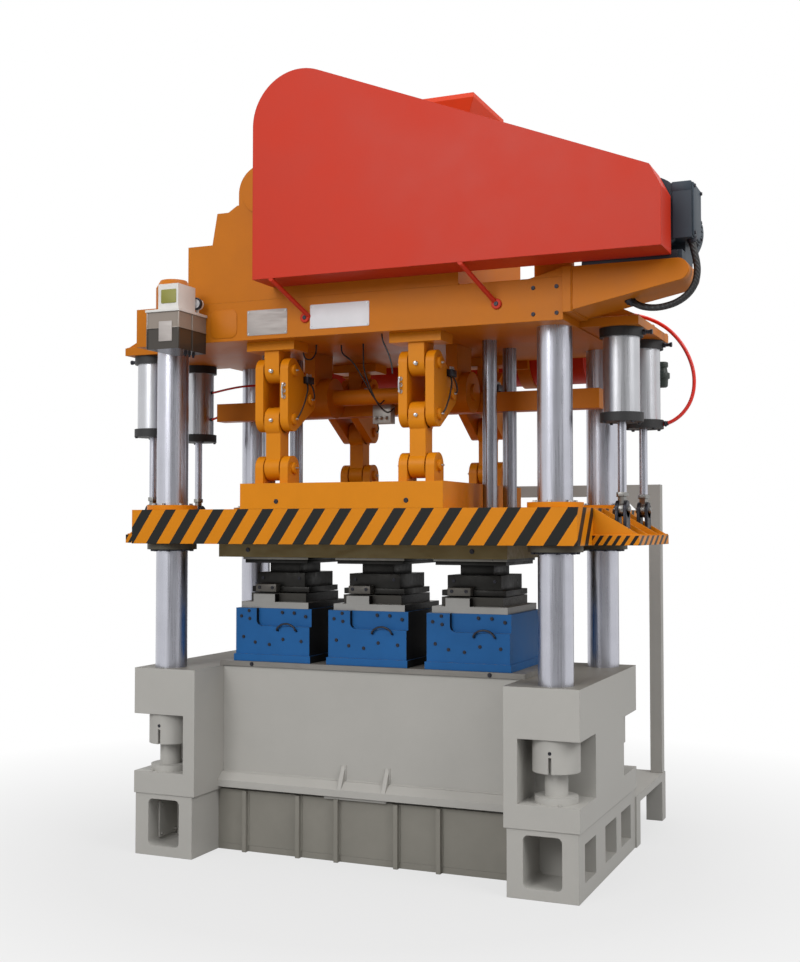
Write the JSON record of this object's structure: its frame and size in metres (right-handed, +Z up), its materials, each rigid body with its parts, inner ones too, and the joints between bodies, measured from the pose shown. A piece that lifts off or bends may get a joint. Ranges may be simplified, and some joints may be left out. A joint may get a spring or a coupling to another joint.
{
  "type": "roofing tile press",
  "caption": "Four-column toggle press for roofing tiles: cast bed, belt-driven crown, striped slide on chromed columns and mould sets between bolster and slide.",
  "frame": {"origin": "on the floor, in the middle between the four columns", "axes": "+X to the right, +Y to the back, +Z up"},
  "size_m": [3.065, 2.164, 3.7499],
  "materials": {
    "grey_paint": "satin light grey machine enamel",
    "orange_paint": "semi-gloss yellow-orange machine enamel",
    "red_paint": "satin orange-red enamel on sheet steel",
    "blue_paint": "semi-gloss blue enamel on machined blocks",
    "chrome": "hard chrome, ground",
    "machined_steel": "machined steel",
    "black_steel": "oiled black tool steel",
    "olive_paint": "oiled grey-olive plate",
    "slate_paint": "slate motor enamel",
    "barrel_aluminium": "anodised tube with black end caps",
    "belt_rubber": "black rubber",
    "conduit_plastic": "black ribbed conduit",
    "hose_plastic": "glossy red air hose",
    "reservoir_plastic": "smoky reservoir",
    "box_plastic": "off-white control box"
  },
  "bodies": {
    "frame": {"base_plate": "grey_paint", "base_ends": "grey_paint", "lower_walls": "grey_paint", "bed_ends": "grey_paint", "bed_body": "grey_paint", "lower_nuts": "grey_paint", "rear_platform": "grey_paint", "rear_stand": "grey_paint", "upper_nuts": "orange_paint", "crown_beam": "orange_paint", "gearbox_housing": "orange_paint", "motor_bracket": "orange_paint", "crown_lugs": "orange_paint", "crank_hangers": "orange_paint", "cross_beam": "orange_paint", "cylinder_brackets": "orange_paint", "tank_brackets": "orange_paint", "belt_guard": "red_paint", "guard_struts": "red_paint", "red_hood": "red_paint", "air_tank": "red_paint", "lower_moulds": "blue_paint", "columns": "chrome", "guide_rods": "chrome", "belt_wheel": "machined_steel", "motor_pulley": "machined_steel", "mould_plates": "machined_steel", "bolster_plate": "olive_paint", "motor": "slate_paint", "balance_cylinders": "barrel_aluminium", "drive_belt": "belt_rubber", "motor_conduit": "conduit_plastic", "air_hose": "hose_plastic", "lubricator_tank": "reservoir_plastic", "lubricator_box": "box_plastic"},
    "slide": {"slide_beam": "orange_paint", "slide_box": "orange_paint", "guide_collars": "orange_paint", "slide_brackets": "orange_paint", "balance_rods": "chrome", "backing_plate": "olive_paint", "upper_dies": "black_steel"},
    "front_upper_links": {"front_upper_links": "orange_paint"},
    "front_lower_links": {"front_lower_links": "orange_paint"},
    "rear_upper_links": {"rear_upper_links": "orange_paint"},
    "rear_lower_links": {"rear_lower_links": "orange_paint"}
  },
  "joints": [
    {"name": "slide_travel", "type": "slide", "parent": "frame", "child": "slide", "axis": [0, 0, 1], "range_m": [0, 0.1]},
    {"name": "front_upper_fold", "type": "hinge", "parent": "frame", "child": "front_upper_links", "pos_m": [0, -0.48, 2.404], "axis": [1, 0, 0], "range_deg": [0, 37.74]},
    {"name": "front_lower_fold", "type": "hinge", "parent": "slide", "child": "front_lower_links", "pos_m": [0, -0.48, 1.926], "axis": [-1, 0, 0], "range_deg": [0, 37.74]},
    {"name": "rear_upper_fold", "type": "hinge", "parent": "frame", "child": "rear_upper_links", "pos_m": [0, 0.48, 2.404], "axis": [-1, 0, 0], "range_deg": [0, 37.74]},
    {"name": "rear_lower_fold", "type": "hinge", "parent": "slide", "child": "rear_lower_links", "pos_m": [0, 0.48, 1.926], "axis": [1, 0, 0], "range_deg": [0, 37.74]}
  ],
  "couplings": [
    {"joint": "front_upper_fold", "follows": "slide_travel", "rad_per_m": 6.5869},
    {"joint": "front_lower_fold", "follows": "slide_travel", "rad_per_m": 6.5869},
    {"joint": "rear_upper_fold", "follows": "slide_travel", "rad_per_m": 6.5869},
    {"joint": "rear_lower_fold", "follows": "slide_travel", "rad_per_m": 6.5869}
  ]
}
